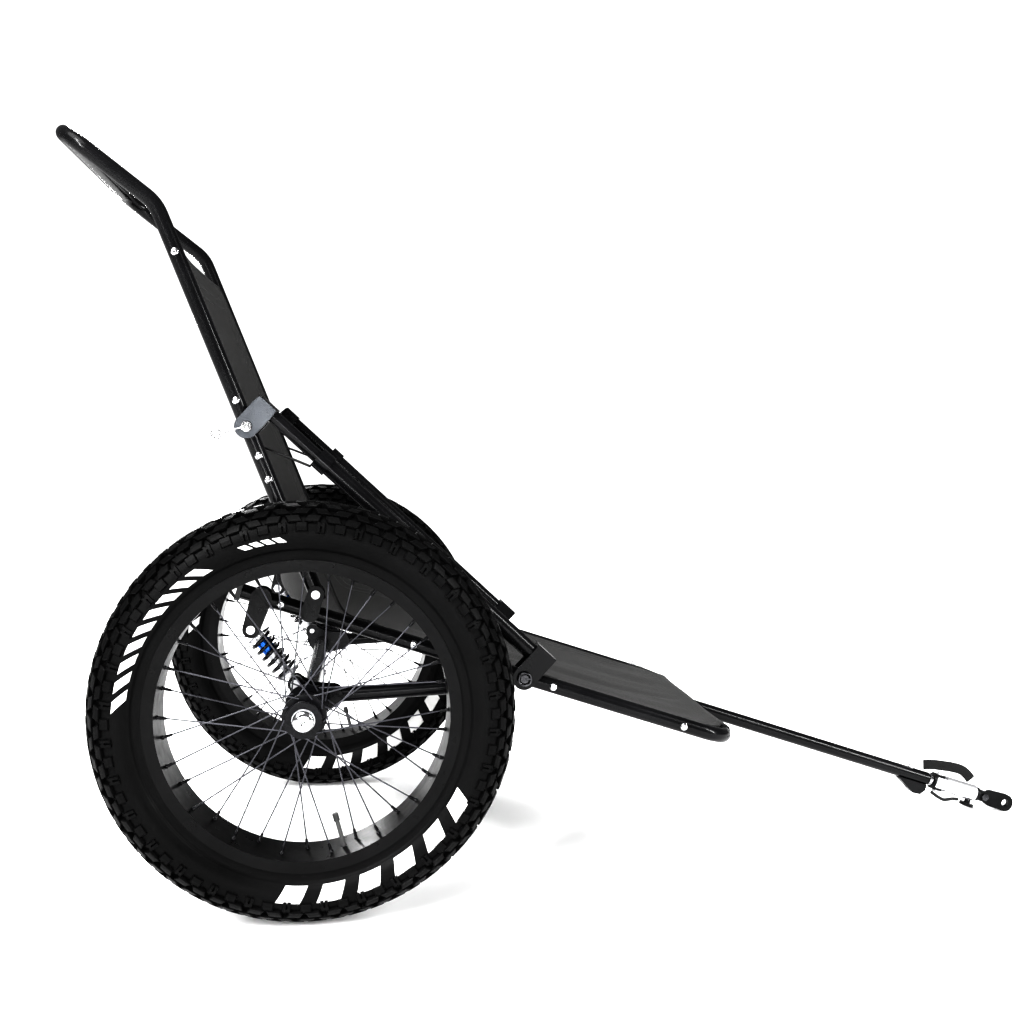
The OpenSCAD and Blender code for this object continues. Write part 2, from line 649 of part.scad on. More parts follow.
seat_frame();
seat_end_plugs();
seat_sling();
seat_screws();
back_brackets();
pivot_bolts();
shock_hangers();
arm_brackets();
rail_ring_pin();
strut_lower_pin(1);  // strut_lower_pin_left
strut_lower_pin(-1);  // strut_lower_pin_right
tow_bar();
hitch_shank();
hitch_block();
hitch_ring_pin();
hitch_spring();
yaw_bolt();
safety_strap();
safety_cable();
swivel_housing();
strap_anchor();
swivel_bush();
swivel_shaft();
hitch_tongue();
tongue_bolt();
backrest_tubes();
handle_bow();
back_sling();
back_screws();
strut_inner(1);  // strut_inner_left
strut_inner(-1);  // strut_inner_right
strut_outer(1);  // strut_outer_left
strut_outer(-1);  // strut_outer_right
strut_top_pin(1);  // strut_top_pin_left
strut_top_pin(-1);  // strut_top_pin_right
pin_lanyard(1);  // pin_lanyard_left
pin_lanyard(-1);  // pin_lanyard_right
swing_arms();
axle_plates();
axle_beam();
axle_caps();
shock_lower_bolts();
shock_body(1);  // shock_body_left
shock_body(-1);  // shock_body_right
shock_shaft(1);  // shock_shaft_left
shock_shaft(-1);  // shock_shaft_right
shock_spring(1);  // shock_spring_left
shock_spring(-1);  // shock_spring_right
tyre(1);  // tyre_left
tyre(-1);  // tyre_right
inner_tube(1);  // inner_tube_left
inner_tube(-1);  // inner_tube_right
rim(1);  // rim_left
rim(-1);  // rim_right
spokes(1);  // spokes_left
spokes(-1);  // spokes_right
hub(1);  // hub_left
hub(-1);  // hub_right
hub_bearings(1);  // hub_bearings_left
hub_bearings(-1);  // hub_bearings_right
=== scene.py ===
import math

import bpy
import numpy as np
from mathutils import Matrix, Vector

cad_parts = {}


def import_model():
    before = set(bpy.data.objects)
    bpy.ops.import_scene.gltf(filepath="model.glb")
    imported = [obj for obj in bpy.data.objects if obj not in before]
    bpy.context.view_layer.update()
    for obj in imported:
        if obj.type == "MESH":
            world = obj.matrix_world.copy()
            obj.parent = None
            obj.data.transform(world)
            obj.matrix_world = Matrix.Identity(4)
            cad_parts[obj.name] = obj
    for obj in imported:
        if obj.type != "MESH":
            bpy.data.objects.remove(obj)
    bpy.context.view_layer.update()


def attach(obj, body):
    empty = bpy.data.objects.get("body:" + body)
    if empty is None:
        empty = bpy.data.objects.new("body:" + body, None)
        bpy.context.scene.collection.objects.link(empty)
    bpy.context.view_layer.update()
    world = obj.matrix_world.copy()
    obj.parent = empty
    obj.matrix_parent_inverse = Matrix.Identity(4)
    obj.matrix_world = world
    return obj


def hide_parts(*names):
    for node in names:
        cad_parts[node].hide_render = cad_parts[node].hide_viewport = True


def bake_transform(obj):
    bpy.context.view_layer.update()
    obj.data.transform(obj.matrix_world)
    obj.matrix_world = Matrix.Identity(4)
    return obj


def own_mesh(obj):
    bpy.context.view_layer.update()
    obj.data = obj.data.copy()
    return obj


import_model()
MM = 0.001
SIDES = (("left", 1), ("right", -1))

# ---- camera ----
# The viewpoint: beside the near wheel, a little above the tyres, turned slightly towards the hitch
CAMERA_SPOT = (-0.3486, -1.906, 0.650)
CAMERA_YAW = 6.97
CAMERA_PITCH = 3.31
CAMERA_LENS = 40.68


def add_camera():
    data = bpy.data.cameras.new("camera")
    data.lens = CAMERA_LENS
    data.sensor_width = 36
    data.clip_end = 100
    obj = bpy.data.objects.new("camera", data)
    bpy.context.scene.collection.objects.link(obj)
    yaw, pitch = math.radians(CAMERA_YAW), math.radians(CAMERA_PITCH)
    look = Vector((math.sin(yaw) * math.cos(pitch), math.cos(yaw) * math.cos(pitch), -math.sin(pitch)))
    obj.location = CAMERA_SPOT
    obj.rotation_euler = look.to_track_quat("-Z", "Y").to_euler()
    bpy.context.scene.camera = obj
    bpy.context.scene.view_settings.view_transform = "Standard"
    bpy.context.scene.view_settings.look = "High Contrast"


add_camera()

# ---- the trailer's side-view frames, in millimetres ----
WHEEL_R, TRACK_Y = 288.0, 325.0
AXLE = np.array([-438.635, 288.0])
SEAT_SLOPE, BACK_LEAN = math.radians(18.2), math.radians(21.4)
SIDE_Y, TUBE_R = 240.0, 11.0
SEAT_FRONT = 626.0 / math.cos(SEAT_SLOPE)
SEAT_ORIGIN = AXLE + [0.0, 125.0]
SEAT_X = np.array([math.cos(SEAT_SLOPE), -math.sin(SEAT_SLOPE)])
SEAT_N = np.array([math.sin(SEAT_SLOPE), math.cos(SEAT_SLOPE)])
BACK_X = np.array([-math.sin(BACK_LEAN), math.cos(BACK_LEAN)])
BACK_N = np.array([-math.cos(BACK_LEAN), -math.sin(BACK_LEAN)])


def on_rail(x):
    return AXLE + [x, 125.0 - x * math.tan(SEAT_SLOPE)]


BACK_PIVOT = on_rail(3.0) + 28.0 * SEAT_N
SHOCK_TOP = on_rail(-64.5) - 46.5 * SEAT_N
SHOCK_FOOT = AXLE + [-18.0, 23.0]
STRUT_TOP = BACK_PIVOT + 255.0 * BACK_X
STRUT_FOOT = on_rail(310.0)
EYE = np.array([AXLE[0] + 1205.0, 15.0])
BAR_ROOT = on_rail(626.0)


def seat_point(x, n):
    return SEAT_ORIGIN + x * SEAT_X + n * SEAT_N


def back_point(x, n):
    return BACK_PIVOT + x * BACK_X + n * BACK_N


def along(start, end):
    """Origin, direction and upward normal of a side-view line."""
    d = (end - start) / np.linalg.norm(end - start)
    return start, d, np.array([-d[1], d[0]])


def in_line(line, u, n):
    start, d, up = line
    return start + u * d + n * up


STRUT_LINE = along(STRUT_TOP, STRUT_FOOT)
SHOCK_LINE = along(SHOCK_TOP, SHOCK_FOOT)
BAR_D = (BAR_ROOT - EYE) / np.linalg.norm(BAR_ROOT - EYE)
BAR_LINE = (EYE, BAR_D, np.array([BAR_D[1], -BAR_D[0]]))


def world(p, y):
    return np.array([p[0], y, p[1]]) * MM


# ---- materials ----


def texture_space(nodes, links, stretch=(1, 1, 1), uv=False):
    coords = nodes.new("ShaderNodeTexCoord")
    mapping = nodes.new("ShaderNodeMapping")
    mapping.inputs["Scale"].default_value = stretch
    links.new(coords.outputs["UV" if uv else "Object"], mapping.inputs["Vector"])
    return mapping.outputs["Vector"]


def noise(nodes, links, space, scale, detail=4.0, roughness=0.55):
    node = nodes.new("ShaderNodeTexNoise")
    node.inputs["Scale"].default_value = scale
    node.inputs["Detail"].default_value = detail
    node.inputs["Roughness"].default_value = roughness
    links.new(space, node.inputs["Vector"])
    return node.outputs["Fac"]


def spread(nodes, links, value, low, high, out_low, out_high):
    node = nodes.new("ShaderNodeMapRange")
    for name, number in (("From Min", low), ("From Max", high), ("To Min", out_low), ("To Max", out_high)):
        node.inputs[name].default_value = number
    links.new(value, node.inputs["Value"])
    return node.outputs["Result"]


def blend_colours(nodes, links, value, a, b):
    node = nodes.new("ShaderNodeMix")
    node.data_type = "RGBA"
    node.inputs[6].default_value = (*a, 1)
    node.inputs[7].default_value = (*b, 1)
    links.new(value, node.inputs["Factor"])
    return node.outputs[2]


def maths(nodes, links, operation, a, b):
    node = nodes.new("ShaderNodeMath")
    node.operation = operation
    for i, v in enumerate((a, b)):
        if isinstance(v, (int, float)):
            node.inputs[i].default_value = v
        else:
            links.new(v, node.inputs[i])
    return node.outputs[0]


def surface(name, dark, light, rough, tone=9.0, grain=900.0, depth=0.00004, metallic=0.0, coat=0.0,
            coat_rough=0.06, sheen=0.0, stretch=(1, 1, 1), specular=0.5, wear=None, wear_scale=22.0):
    """A finish with drifting tone, uneven gloss, a fine grain in relief, and wear in patches where wanted."""
    mat = bpy.data.materials.new(name)
    mat.use_nodes = True
    nodes, links = mat.node_tree.nodes, mat.node_tree.links
    shader = nodes["Principled BSDF"]
    even = texture_space(nodes, links)
    fine = texture_space(nodes, links, stretch)
    cloud = spread(nodes, links, noise(nodes, links, even, tone), 0.3, 0.7, 0, 1)
    colour = blend_colours(nodes, links, cloud, dark, light)
    gloss = spread(nodes, links, noise(nodes, links, fine, tone * 5, 6.0), 0.3, 0.7, *rough)
    if wear:
        patch = noise(nodes, links, even, wear_scale, 8.0, 0.72)
        worn = spread(nodes, links, patch, 0.66, 0.72, 0, 1)
        mix = nodes.new("ShaderNodeMix")
        mix.data_type = "RGBA"
        mix.inputs[7].default_value = (*wear, 1)
        links.new(worn, mix.inputs["Factor"])
        links.new(colour, mix.inputs[6])
        colour = mix.outputs[2]
        gloss = maths(nodes, links, "ADD", gloss, maths(nodes, links, "MULTIPLY", worn, 0.22))
    links.new(colour, shader.inputs["Base Color"])
    links.new(gloss, shader.inputs["Roughness"])
    bump = nodes.new("ShaderNodeBump")
    bump.inputs["Distance"].default_value = depth
    bump.inputs["Strength"].default_value = 1.0
    links.new(noise(nodes, links, fine, grain, 3.0), bump.inputs["Height"])
    links.new(bump.outputs["Normal"], shader.inputs["Normal"])
    shader.inputs["Metallic"].default_value = metallic
    shader.inputs["Coat Weight"].default_value = coat
    shader.inputs["Coat Roughness"].default_value = coat_rough
    shader.inputs["Sheen Weight"].default_value = sheen
    shader.inputs["Specular IOR Level"].default_value = specular
    return mat


def bands(nodes, links, space, period, direction, turn=0.0):
    """A wave of that period in metres, from 0 to 1."""
    node = nodes.new("ShaderNodeTexWave")
    node.bands_direction = direction
    node.inputs["Scale"].default_value = 0.3142 / period
    node.inputs["Distortion"].default_value = turn
    node.inputs["Detail"].default_value = 0
    links.new(space, node.inputs["Vector"])
    return node.outputs["Fac"]


def woven(name, dark, light, thread, depth, rough, sheen, rib=None):
    """Plain weave from crossing threads, on the cloth's own flat coordinates in metres."""
    mat = bpy.data.materials.new(name)
    mat.use_nodes = True
    nodes, links = mat.node_tree.nodes, mat.node_tree.links
    shader = nodes["Principled BSDF"]
    flat = texture_space(nodes, links, uv=True)
    over = nodes.new("ShaderNodeTexChecker")
    over.inputs["Scale"].default_value = 1 / thread
    over.inputs["Color1"].default_value = (1, 1, 1, 1)
    over.inputs["Color2"].default_value = (0, 0, 0, 1)
    links.new(flat, over.inputs["Vector"])
    warp = maths(nodes, links, "MULTIPLY", bands(nodes, links, flat, thread, "X"), over.outputs["Fac"])
    under = maths(nodes, links, "SUBTRACT", 1.0, over.outputs["Fac"])
    weft = maths(nodes, links, "MULTIPLY", bands(nodes, links, flat, thread, "Y"), under)
    height = maths(nodes, links, "ADD", warp, weft)
    if rib:
        height = maths(nodes, links, "ADD", height, bands(nodes, links, flat, rib, "X"))
    slub = noise(nodes, links, texture_space(nodes, links, (1, 14, 1), uv=True), 90, 3.0)
    dust = noise(nodes, links, flat, 7.0, 6.0)
    tone = maths(nodes, links, "ADD", maths(nodes, links, "MULTIPLY", height, 0.45),
                 maths(nodes, links, "MULTIPLY", slub, 0.35))
    tone = maths(nodes, links, "ADD", tone, maths(nodes, links, "MULTIPLY", dust, 0.4))
    links.new(blend_colours(nodes, links, spread(nodes, links, tone, 0.2, 1.0, 0, 1), dark, light),
              shader.inputs["Base Color"])
    links.new(spread(nodes, links, dust, 0.3, 0.7, *rough), shader.inputs["Roughness"])
    bump = nodes.new("ShaderNodeBump")
    bump.inputs["Distance"].default_value = depth
    links.new(height, bump.inputs["Height"])
    links.new(bump.outputs["Normal"], shader.inputs["Normal"])
    shader.inputs["Sheen Weight"].default_value = sheen
    shader.inputs["Sheen Roughness"].default_value = 0.45
    shader.inputs["Specular IOR Level"].default_value = 0.12
    return mat


BLACK, SOFT_BLACK = (0.002, 0.002, 0.0022), (0.006, 0.006, 0.0065)
gloss_paint = surface("gloss_paint", BLACK, SOFT_BLACK, (0.18, 0.30), 6, 420, 0.00005, coat=0.10,
                      specular=0.10, wear=(0.007, 0.007, 0.0073))
part_black = surface("part_black", (0.003, 0.003, 0.003), (0.009, 0.009, 0.0095), (0.30, 0.46), 14, 700, 0.00006,
                     coat=0.03, coat_rough=0.2, specular=0.08, wear=(0.02, 0.02, 0.02))
plug_black = surface("plug_black", (0.008, 0.008, 0.008), (0.018, 0.018, 0.018), (0.45, 0.6), 30, 1500, 0.00008)
bright_steel = surface("bright_steel", (0.40, 0.40, 0.41), (0.58, 0.58, 0.59), (0.12, 0.26), 40, 1100, 0.00003,
                       metallic=1.0, stretch=(1, 8, 1), wear=(0.42, 0.42, 0.42))
dark_steel = surface("dark_steel", (0.03, 0.03, 0.032), (0.10, 0.10, 0.105), (0.2, 0.34), 60, 1100, 0.00003,
                     metallic=1.0, wear=(0.3, 0.3, 0.3), wear_scale=120)
chrome = surface("chrome", (0.50, 0.50, 0.51), (0.66, 0.66, 0.67), (0.05, 0.16), 30, 800, 0.00002, metallic=1.0)
housing_alloy = surface("housing_alloy", (0.17, 0.173, 0.18), (0.27, 0.273, 0.28), (0.26, 0.42), 25, 1400, 0.00004,
                        metallic=1.0, stretch=(1, 0.12, 0.12))
brass = surface("brass", (0.42, 0.28, 0.10), (0.55, 0.38, 0.15), (0.25, 0.4), 25, 900, 0.00003, metallic=1.0)
plate_steel = surface("plate_steel", (0.045, 0.048, 0.053), (0.085, 0.09, 0.098), (0.28, 0.40), 18, 900, 0.00004,
                      metallic=1.0, stretch=(1, 1, 12))
tyre_rubber = surface("tyre_rubber", (0.0018, 0.0018, 0.0018), (0.0042, 0.0042, 0.0043), (0.36, 0.52), 5, 1600, 0.00012,
                      sheen=0.0, specular=0.06, wear=(0.008, 0.0078, 0.0076), wear_scale=34)
tube_rubber = surface("tube_rubber", (0.008, 0.008, 0.008), (0.016, 0.016, 0.016), (0.5, 0.65), 20, 1200, 0.0001)
mark_white = surface("mark_white", (0.62, 0.62, 0.61), (0.80, 0.80, 0.79), (0.42, 0.6), 30, 1300, 0.00008,
                     wear=(0.4, 0.4, 0.39), wear_scale=60)
rim_black = surface("rim_black", (0.0015, 0.0015, 0.0015), (0.004, 0.004, 0.0042), (0.26, 0.38), 10, 900, 0.00002,
                    coat=0.05, coat_rough=0.15, specular=0.07)
spoke_steel = surface("spoke_steel", (0.10, 0.10, 0.105), (0.34, 0.34, 0.35), (0.18, 0.32), 7, 900, 0.00002,
                      metallic=1.0)
hub_black = surface("hub_black", (0.003, 0.003, 0.0035), (0.008, 0.008, 0.009), (0.2, 0.34), 20, 1000, 0.00003,
                    coat=0.06, coat_rough=0.15, specular=0.1)
shock_alloy = surface("shock_alloy", (0.50, 0.51, 0.53), (0.68, 0.69, 0.71), (0.18, 0.3), 30, 1200, 0.00003,
                      metallic=1.0)
shock_blue = surface("shock_blue", (0.010, 0.06, 0.26), (0.025, 0.12, 0.42), (0.2, 0.34), 30, 1200, 0.00003,
                     metallic=1.0)
coil_black = surface("coil_black", (0.005, 0.005, 0.006), (0.014, 0.014, 0.016), (0.15, 0.28), 25, 700, 0.00004,
                     coat=0.2, specular=0.15, wear=(0.03, 0.03, 0.03))
cord_black = surface("cord_black", (0.004, 0.004, 0.004), (0.010, 0.010, 0.010), (0.35, 0.5), 60, 1500, 0.0001,
                     coat=0.08, coat_rough=0.3, specular=0.15)
sling_cloth = woven("sling_cloth", (0.010, 0.010, 0.0102), (0.036, 0.0355, 0.0345), 0.0011, 0.00018, (0.6, 0.78), 0.05)
hem_cloth = woven("hem_cloth", (0.008, 0.008, 0.008), (0.030, 0.030, 0.030), 0.0008, 0.00012, (0.5, 0.68), 0.03)
webbing = woven("webbing", (0.003, 0.003, 0.003), (0.012, 0.012, 0.012), 0.0009, 0.0002, (0.55, 0.72), 0.02, rib=0.0018)
thread = surface("thread", (0.03, 0.03, 0.03), (0.06, 0.06, 0.06), (0.5, 0.65), 60, 2400, 0.00005)

NODE_FINISH = {
    "gloss_paint": ["seat_frame", "back_brackets", "shock_hangers", "arm_brackets", "tow_bar", "backrest_tubes",
                    "handle_bow", "strut_inner_left", "strut_inner_right", "strut_outer_left", "strut_outer_right",
                    "swing_arms", "axle_plates", "axle_beam"],
    "part_black": ["hitch_shank", "hitch_block", "strap_anchor", "swivel_shaft", "hitch_tongue"],
    "plug_black": ["seat_end_plugs"],
    "dark_steel": ["strut_lower_pin_left", "strut_lower_pin_right", "tongue_bolt"],
    "bright_steel": ["pivot_bolts", "rail_ring_pin", "hitch_ring_pin", "yaw_bolt", "shock_lower_bolts",
                     "hub_bearings_left", "hub_bearings_right"],
    "chrome": ["strut_top_pin_left", "strut_top_pin_right", "hitch_spring"],
    "housing_alloy": ["swivel_housing"],
    "brass": ["swivel_bush"],
    "tube_rubber": ["inner_tube_left", "inner_tube_right"],
    "rim_black": ["rim_left", "rim_right"],
    "spoke_steel": ["spokes_left", "spokes_right"],
    "hub_black": ["hub_left", "hub_right"],
    "shock_alloy": ["shock_body_left", "shock_body_right", "shock_shaft_left", "shock_shaft_right"],
}


def finish_cad_nodes():
    for finish, names in NODE_FINISH.items():
        for name in names:
            slots = bpy.data.objects[name].material_slots
            for slot in slots:
                slot.material = bpy.data.materials[finish]


finish_cad_nodes()

# ---- mesh helpers ----


def piece(name, verts, faces, material, uvs=None, smooth=True):
    mesh = bpy.data.meshes.new(name)
    mesh.from_pydata([tuple(map(float, v)) for v in verts], [], [tuple(map(int, f)) for f in faces])
    mesh.polygons.foreach_set("use_smooth", [smooth] * len(mesh.polygons))
    if uvs is not None:
        layer = mesh.uv_layers.new(name="flat")
        for loop in mesh.loops:
            layer.data[loop.index].uv = uvs[loop.vertex_index]
    mesh.materials.append(material)
    mesh.update()
    obj = bpy.data.objects.new(name, mesh)
    bpy.context.scene.collection.objects.link(obj)
    return obj


def smooth_line(points, count):
    """Catmull-Rom through the points, then spaced evenly into count points."""
    p = np.array(points, float)
    p = np.vstack([2 * p[0] - p[1], p, 2 * p[-1] - p[-2]])
    out = []
    for i in range(1, len(p) - 2):
        for t in np.linspace(0, 1, 24, endpoint=False):
            a, b, c, d = p[i - 1], p[i], p[i + 1], p[i + 2]
            out.append(0.5 * (2 * b + (c - a) * t + (2 * a - 5 * b + 4 * c - d) * t**2
                              + (3 * b - a - 3 * c + d) * t**3))
    out = np.array(out + [p[-2]])
    reach = np.concatenate([[0], np.cumsum(np.linalg.norm(np.diff(out, axis=0), axis=1))])
    spots = np.linspace(0, reach[-1], count)
    return np.array([[np.interp(s, reach, out[:, k]) for k in range(out.shape[1])] for s in spots])


def frames_along(points, closed=False):
    """Tangent and two cross directions at each point, carried along without twist."""
    p = np.array(points, float)
    n = len(p)
    tangents = np.roll(p, -1, 0) - np.roll(p, 1, 0) if closed else np.gradient(p, axis=0)
    tangents = tangents / np.linalg.norm(tangents, axis=1)[:, None]
    seed = np.array([0.31, 0.17, 0.94])
    a = np.cross(tangents[0], seed)
    side = [a / np.linalg.norm(a)]
    for i in range(1, n):
        s = side[-1] - (side[-1] @ tangents[i]) * tangents[i]
        side.append(s / np.linalg.norm(s))
    side = np.array(side)
    return tangents, side, np.cross(tangents, side)


def swept_tube(points, radius, sides=12, closed=False):
    """Round tube along the points; radius is a number or one for each point."""
    p = np.array(points, float)
    n = len(p)
    radii = np.full(n, radius) if np.isscalar(radius) else np.array(radius, float)
    _, a, b = frames_along(p, closed)
    verts, faces = [], []
    for i in range(n):
        for k in range(sides):
            t = 2 * math.pi * k / sides
            verts.append(p[i] + radii[i] * (math.cos(t) * a[i] + math.sin(t) * b[i]))
    for i in range(n if closed else n - 1):
        j = (i + 1) % n
        for k in range(sides):
            m = (k + 1) % sides
            faces.append((i * sides + k, i * sides + m, j * sides + m, j * sides + k))
    if not closed:
        faces.append(tuple(reversed(range(sides))))
        faces.append(tuple(range((n - 1) * sides, n * sides)))
    return verts, faces


def revolved(profile, steps, place):
    """Open profile of (radius, height) turned about an axis; place maps (x, y, height) to the model."""
    verts, faces = [], []
    m = len(profile)
    for i in range(steps):
        t = 2 * math.pi * i / steps
        for r, h in profile:
            verts.append(place(r * math.cos(t), r * math.sin(t), h))
    for i in range(steps):
        j = (i + 1) % steps
        for k in range(m - 1):
            faces.append((i * m + k, j * m + k, j * m + k + 1, i * m + k + 1))
    return verts, faces


def join(parts):
    verts, faces = [], []
    for v, f in parts:
        base = len(verts)
        verts += list(v)
        faces += [tuple(base + i for i in face) for face in f]
    return verts, faces


# ---- tyres ----
SECTION_R = WHEEL_R - 42.0
CARCASS_HIGH, CARCASS_WIDE = 35.8, 46.6
KNOB = 6.2
PITCHES = 32


def tyre_place(s):
    def place(turn, a, lift):
        """turn round the wheel, section angle a from the outer side wall (0) over the crown, lift off the carcass."""
        r = SECTION_R + (CARCASS_HIGH + lift) * math.sin(a)
        y = s * TRACK_Y - s * (CARCASS_WIDE + lift) * math.cos(a) * -1
        return np.array([AXLE[0] + r * math.cos(turn), y, AXLE[1] + r * math.sin(turn)]) * MM
    return place


def carcass(s):
    """Closed casing with bead, rim guard ribs and a fine rib under the tread."""
    low, high = math.radians(-42), math.radians(222)
    profile = []
    for a in np.linspace(low, high, 92):
        side_a = a if a < math.pi / 2 else math.pi - a
        r = SECTION_R + CARCASS_HIGH * math.sin(side_a)
        lift = 0.0
        for spot, tall, wide in ((221.5, 0.9, 1.1), (226.5, 0.5, 0.8), (258.5, 0.6, 0.9)):
            lift += tall * math.exp(-(((r - spot) / wide) ** 2))
        profile.append((SECTION_R + (CARCASS_HIGH + lift) * math.sin(a), (CARCASS_WIDE + lift) * math.cos(a)))
    inner = [(SECTION_R + 31.5 * math.sin(a), 42.0 * math.cos(a)) for a in np.linspace(high, low, 40)]
    bead = [(211.5, -36.8), (203.6, -36.8), (203.6, -31.0)]
    profile = profile + bead + inner + [(r, -y) for r, y in reversed(bead)] + [profile[0]]

    def place(x, z, h):
        return np.array([AXLE[0] + x, s * TRACK_Y + h, AXLE[1] + z]) * MM
    return revolved(profile, 192, place)


def knob(place, turn, a, long, wide, tall, skew=0.0, taper=0.84):
    """One tread block, bevelled on top; long round the wheel, wide across the section, in millimetres."""
    rings = ((0.0, 1.10), (tall - 0.9, 0.94), (tall, taper))
    verts, faces = [], []
    r = SECTION_R + CARCASS_HIGH * math.sin(a)
    arc = math.hypot(CARCASS_WIDE * math.sin(a), CARCASS_HIGH * math.cos(a))
    for lift, size in rings:
        for u, v in ((-1, -1), (0, -1), (1, -1), (1, 0), (1, 1), (0, 1), (-1, 1), (-1, 0)):
            du = u * long / 2 * size + v * skew
            dv = v * wide / 2 * size
            verts.append(place(turn + du / r, a + dv / arc, lift - (0.8 if lift == 0 else 0)))
    for i in range(2):
        for k in range(8):
            m = (k + 1) % 8
            faces.append((i * 8 + k, i * 8 + m, i * 8 + 8 + m, i * 8 + 8 + k))
    faces.append(tuple(16 + k for k in range(8)))
    return verts, faces


def tread(s):
    place = tyre_place(s)
    blocks = []
    step = 2 * math.pi / PITCHES
    for i in range(PITCHES):
        t = i * step
        for way in (1, -1):
            shift = 0.0 if way > 0 else 0.25
            def block(part, angle, long, wide, tall, skew=0.0):
                a = math.radians(angle if way > 0 else 180 - angle)
                blocks.append(knob(place, t + (part + shift) * step, a, long, wide, tall, skew))
            block(0.00, 15, 15, 12, 3.6)
            block(0.44, 14, 4.2, 15, 3.6)
            block(0.56, 14, 4.2, 15, 3.6)
            block(0.50, 19, 10.5, 4.0, 3.2)
            block(0.20, 31, 19, 9.5, 5.4, 2.0)
            block(0.72, 31, 19, 9.5, 5.4, -2.0)
            block(0.00, 47, 20, 10, KNOB, -3.0)
            block(0.50, 47, 17, 10, KNOB, 3.0)
            block(0.25, 64, 21, 10, KNOB, 3.0)
            block(0.75, 64, 16, 10, KNOB, -3.0)
            block(0.04, 80, 15, 8.5, KNOB)
            block(0.54, 80, 19, 8.5, KNOB)
    return join(blocks)


def side_marks(s, face):
    """Plain white slanted blocks on one side wall, raised by the thickness of the paint."""
    base = tyre_place(s)
    def place(turn, r, lift):
        a = math.asin((r - SECTION_R) / CARCASS_HIGH)
        return base(turn, a if face > 0 else math.pi - a, lift)
    parts = []
    def slab(start, end, low, high, slant):
        across, up = 8, 8
        verts, faces = [], []
        for lift in (-0.4, 0.55):
            for j in range(up + 1):
                r = low + (high - low) * j / up
                lean = math.radians(slant) * (j / up - 0.5)
                for i in range(across + 1):
                    turn = math.radians(start + (end - start) * i / across) + lean
                    verts.append(place(turn, r, lift))
        row, layer = across + 1, (across + 1) * (up + 1)
        for j in range(up):
            for i in range(across):
                q = j * row + i
                faces.append((q, q + row, q + row + 1, q + 1))
                faces.append((layer + q, layer + q + 1, layer + q + row + 1, layer + q + row))
        edge = ([i for i in range(row)] + [j * row + across for j in range(1, up + 1)]
                + [up * row + i for i in range(across - 1, -1, -1)] + [j * row for j in range(up - 1, 0, -1)])
        for k, q in enumerate(edge):
            m = edge[(k + 1) % len(edge)]
            faces.append((q, m, layer + m, layer + q))
        parts.append((verts, faces))
    for k in range(6):
        slab(262 + 12.6 * k, 269.5 + 12.6 * k, 227.5, 249.5, -2.6)
    for k in range(9):
        slab(171 - 6.1 * k, 174.6 - 6.1 * k, 230, 247 - 0.4 * k, 4.5)
    for k in range(4):
        slab(106.5 - 3.6 * k, 109 - 3.6 * k, 236, 243, 2.0)
    return join(parts)


def build_tyres():
    for name, s in SIDES:
        body = f"wheel_{name}"
        casing = piece(f"tyre_casing_{name}", *carcass(s), tyre_rubber)
        blocks = piece(f"tyre_tread_{name}", *tread(s), tyre_rubber, smooth=False)
        marks = piece(f"tyre_marks_{name}", *join([side_marks(s, 1), side_marks(s, -1)]), mark_white)
        for obj in (casing, blocks, marks):
            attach(obj, body)
        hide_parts(f"tyre_{name}")


build_tyres()

# ---- wheel trim: spoke nipples, valve cap, axle caps ----
SPOKES, RIM_IN, RIM_STEP = 36, 195.0, 13
FLANGE_FOOT, FLANGE_Y, HEAD_STEP = 26, 33, 4.2
VALVE_ANGLE = math.radians(75)


def wheel_point(s, r, turn, y):
    """turn as the wheel is drawn in its own frame, which runs downwards from forward."""
    return np.array([AXLE[0] + r * math.cos(turn), s * (TRACK_Y + y), AXLE[1] - r * math.sin(turn)]) * MM


def build_wheel_trim():
    for name, s in SIDES:
        parts = []
        for i in range(SPOKES):
            row = 1 if i % 2 == 0 else -1
            cross_way = 1 if (i // 2) % 2 == 0 else -1
            rim_a = 2 * math.pi * i / SPOKES
            hub_a = rim_a + cross_way * math.radians(55)
            outer = wheel_point(s, RIM_IN + 0.5, rim_a, row * RIM_STEP)
            inner = wheel_point(s, FLANGE_FOOT, hub_a, row * FLANGE_Y + cross_way * HEAD_STEP)
            d = (inner - outer) / np.linalg.norm(inner - outer)
            line = [outer + d * MM * t for t in (0, 1.6, 1.7, 8.0, 13.0, 14.0)]
            parts.append(swept_tube(line, np.array([3.2, 3.0, 2.3, 2.2, 1.9, 1.2]) * MM, 8))
        nipples = piece(f"spoke_nipples_{name}", *join(parts), hub_black)
        ends = [wheel_point(s, r, VALVE_ANGLE, 0) for r in (147.4, 148.0, 149.0, 158.5, 159.0)]
        cap = piece(f"valve_cap_{name}", *swept_tube(ends, np.array([2.4, 3.7, 4.2, 4.2, 3.6]) * MM, 14), plug_black,
                    smooth=False)
        for obj, slot in ((nipples, "spoke_steel"), (cap, "tube_rubber")):
            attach(obj, f"wheel_{name}")


build_wheel_trim()


